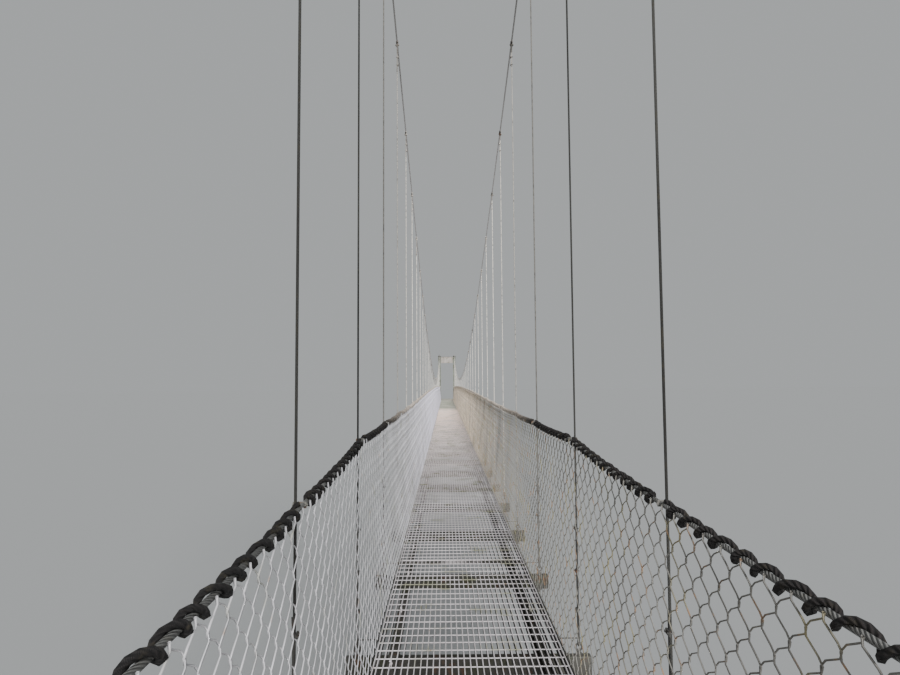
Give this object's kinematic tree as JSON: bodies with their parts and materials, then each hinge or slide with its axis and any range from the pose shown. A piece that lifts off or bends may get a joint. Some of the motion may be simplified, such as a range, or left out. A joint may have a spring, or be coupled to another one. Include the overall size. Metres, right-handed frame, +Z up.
{
  "type": "rope suspension footbridge, 1:2 scale model",
  "caption": "Narrow suspension footbridge at half size: grating deck hung on wire ropes, mesh sides with rope-laced handrails, one tall and one low tower, anchored at both ends.",
  "frame": {"origin": "on the ground, under the middle of the whole length", "axes": "+Y along the deck from the tall near tower to the low far tower, +X across the deck to the right, +Z up"},
  "size_m": [0.9, 35.7034, 3.9439],
  "materials": {
    "grating_steel": "galvanised, dull, stained",
    "frame_steel": "galvanised, weathered dark",
    "cable_steel": "stranded wire rope, weathered",
    "laced_rail": "dark rope wound on a grey steel cable",
    "mesh_wire": "galvanised wire, light grey",
    "tower_steel": "weathered, faintly green",
    "concrete": "rough cast concrete"
  },
  "bodies": {
    "root": {"near_abutment": "concrete", "far_abutment": "concrete", "near_anchor_block": "concrete", "far_anchor_block": "concrete", "near_tower_leg_left": "tower_steel", "near_saddle_left": "frame_steel", "near_anchor_rod_left": "frame_steel", "near_tower_leg_right": "tower_steel", "near_saddle_right": "frame_steel", "near_anchor_rod_right": "frame_steel", "near_tower_top_beam": "tower_steel", "far_tower_leg_left": "tower_steel", "far_saddle_left": "frame_steel", "far_anchor_rod_left": "frame_steel", "far_tower_leg_right": "tower_steel", "far_saddle_right": "frame_steel", "far_anchor_rod_right": "frame_steel", "far_tower_top_beam": "tower_steel", "near_tower_portal_beam": "tower_steel", "near_tower_bracing": "tower_steel", "main_cable_left": "cable_steel", "handrail_left": "laced_rail", "hangers_left_1": "cable_steel", "side_mesh_left_1": "mesh_wire", "hangers_left_2": "cable_steel", "side_mesh_left_2": "mesh_wire", "hangers_left_3": "cable_steel", "side_mesh_left_3": "mesh_wire", "main_cable_right": "cable_steel", "handrail_right": "laced_rail", "hangers_right_1": "cable_steel", "side_mesh_right_1": "mesh_wire", "hangers_right_2": "cable_steel", "side_mesh_right_2": "mesh_wire", "hangers_right_3": "cable_steel", "side_mesh_right_3": "mesh_wire", "deck_grating_1": "grating_steel", "deck_frame_1": "frame_steel", "deck_grating_2": "grating_steel", "deck_frame_2": "frame_steel", "deck_grating_3": "grating_steel", "deck_frame_3": "frame_steel"}
  },
  "joints": []
}
